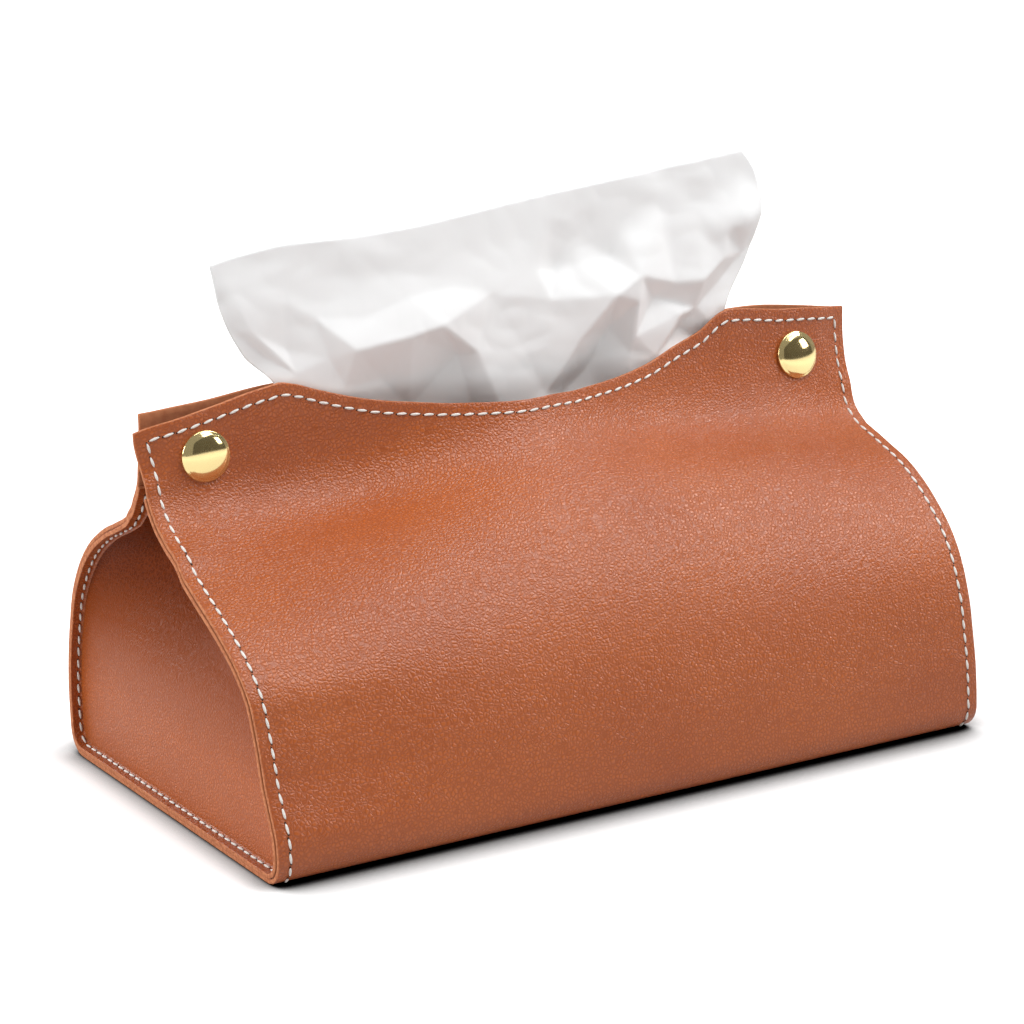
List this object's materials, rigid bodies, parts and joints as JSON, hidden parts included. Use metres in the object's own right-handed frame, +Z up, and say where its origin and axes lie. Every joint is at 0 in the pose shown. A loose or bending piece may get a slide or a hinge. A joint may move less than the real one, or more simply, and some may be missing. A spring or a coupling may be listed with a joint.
{
  "type": "leather tissue cover",
  "caption": "Soft leather tissue cover with snap-fastened pinched top, folded end gussets and a scooped mouth, a tissue standing in it.",
  "frame": {"origin": "middle of the flat underside, on the surface that it stands on", "axes": "+X along the length, -Y the front with the snap caps, +Z up"},
  "size_m": [0.246, 0.1474, 0.176],
  "materials": {
    "tan_leather": "satin pebbled",
    "polished_brass": "polished",
    "plain_brass": "pressed, plain",
    "spring_steel": "plain",
    "tissue_paper": "soft matt"
  },
  "bodies": {
    "base": {"wrap_bottom": "tan_leather", "gusset_left": "tan_leather", "gusset_right": "tan_leather", "tissue_pack": "tissue_paper"},
    "front": {"front_flap": "tan_leather", "snap_cap_left": "polished_brass", "snap_cap_right": "polished_brass", "snap_posts": "plain_brass", "snap_sockets": "plain_brass", "snap_spring_left": "spring_steel", "snap_spring_right": "spring_steel"},
    "back": {"back_flap": "tan_leather", "snap_studs": "plain_brass", "snap_eyelets": "polished_brass"},
    "tissue": {"tissue_sheet": "tissue_paper"}
  },
  "joints": [
    {"name": "front_bend", "type": "hinge", "parent": "base", "child": "front", "pos_m": [0, -0.0674, 0.044], "axis": [1, 0, 0], "range_deg": [0, 30], "deforming": ["snap_spring_left", "snap_spring_right"]},
    {"name": "back_bend", "type": "hinge", "parent": "base", "child": "back", "pos_m": [0, 0.0674, 0.044], "axis": [-1, 0, 0], "range_deg": [0, 30]},
    {"name": "tissue_pull", "type": "slide", "parent": "base", "child": "tissue", "axis": [0, 0, 1], "range_m": [0, 0.12]}
  ]
}
